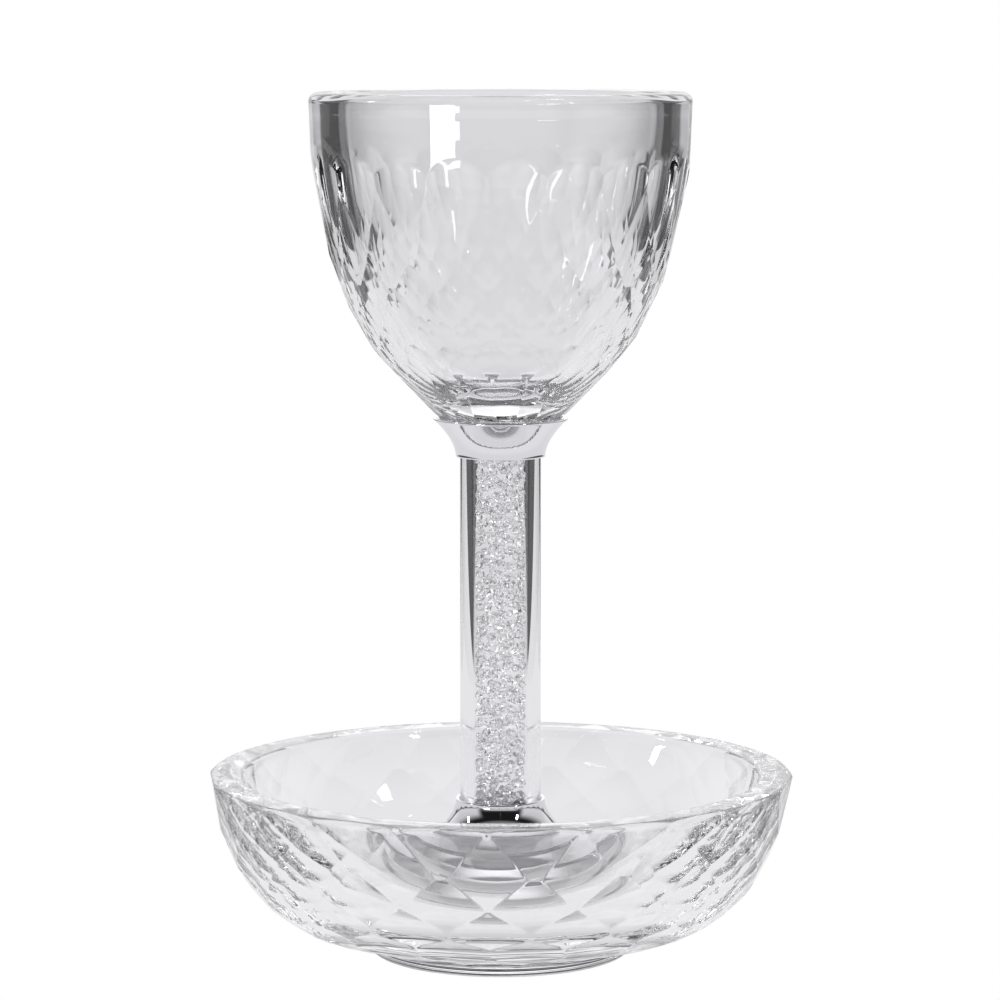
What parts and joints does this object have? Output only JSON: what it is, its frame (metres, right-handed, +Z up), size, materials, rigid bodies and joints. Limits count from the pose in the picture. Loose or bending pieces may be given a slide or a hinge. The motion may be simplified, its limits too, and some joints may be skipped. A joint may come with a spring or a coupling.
{
  "type": "kiddush cup",
  "caption": "Cut crystal goblet on a clear stem packed with small crystals between chrome collars, standing in its own deep crystal dish.",
  "frame": {"origin": "on the table under the middle of the dish, which is also the goblet's axis", "axes": "+Z up along the stem; -Y is the side the picture was taken from; +X to the picture's right"},
  "size_m": [0.1176, 0.1176, 0.173],
  "materials": {
    "crystal": "clear polished crystal glass",
    "crystal_chips": "small clear cut crystals",
    "chrome": "polished chrome plate"
  },
  "bodies": {
    "root": {"dish": "crystal", "foot": "crystal", "lower_collar": "chrome", "stem_tube": "crystal", "crystal_fill": "crystal_chips", "upper_collar": "chrome", "cup": "crystal"}
  },
  "joints": []
}
